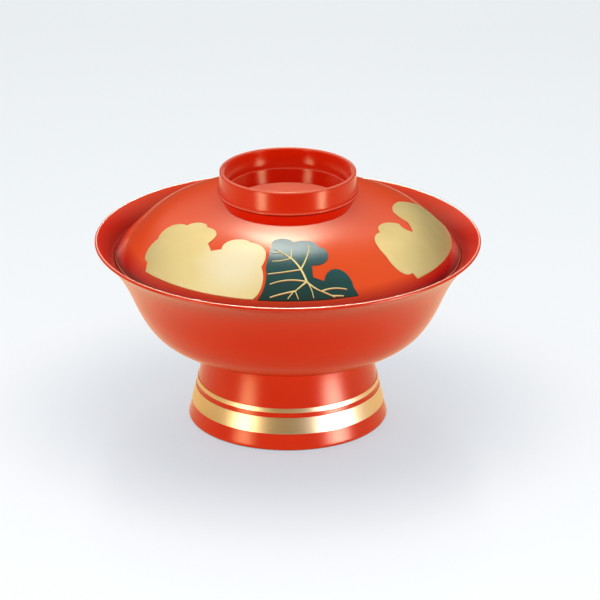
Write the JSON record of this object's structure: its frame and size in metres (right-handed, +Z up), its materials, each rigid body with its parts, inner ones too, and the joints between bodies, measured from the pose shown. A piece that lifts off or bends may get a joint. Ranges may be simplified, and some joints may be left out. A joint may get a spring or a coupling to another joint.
{
  "type": "lidded soup bowl",
  "caption": "Turned lacquer soup bowl on a high flared foot, with a domed lift-off lid that carries a ring knob and raised gold and green leaf ornament.",
  "frame": {"origin": "centre of the foot's resting ring, on the table", "axes": "+Z up along the turning axis, -Y towards the leaves on the front"},
  "size_m": [0.136, 0.136, 0.092],
  "materials": {
    "vermilion_lacquer": "gloss lacquer over turned wood",
    "gold_lacquer": "satin gold powder lacquer",
    "green_lacquer": "gloss lacquer"
  },
  "bodies": {
    "bowl": {"bowl_body": "vermilion_lacquer", "foot": "vermilion_lacquer", "foot_wide_band": "gold_lacquer", "foot_thin_band": "gold_lacquer"},
    "lid": {"lid_dome": "vermilion_lacquer", "lid_knob": "vermilion_lacquer", "left_gold_leaf": "gold_lacquer", "green_leaf": "green_lacquer", "green_leaf_veins": "gold_lacquer", "right_gold_leaf": "gold_lacquer"}
  },
  "joints": [
    {"name": "lid_lift", "type": "slide", "parent": "bowl", "child": "lid", "axis": [0, 0, 1], "range_m": [0, 0.08]}
  ]
}
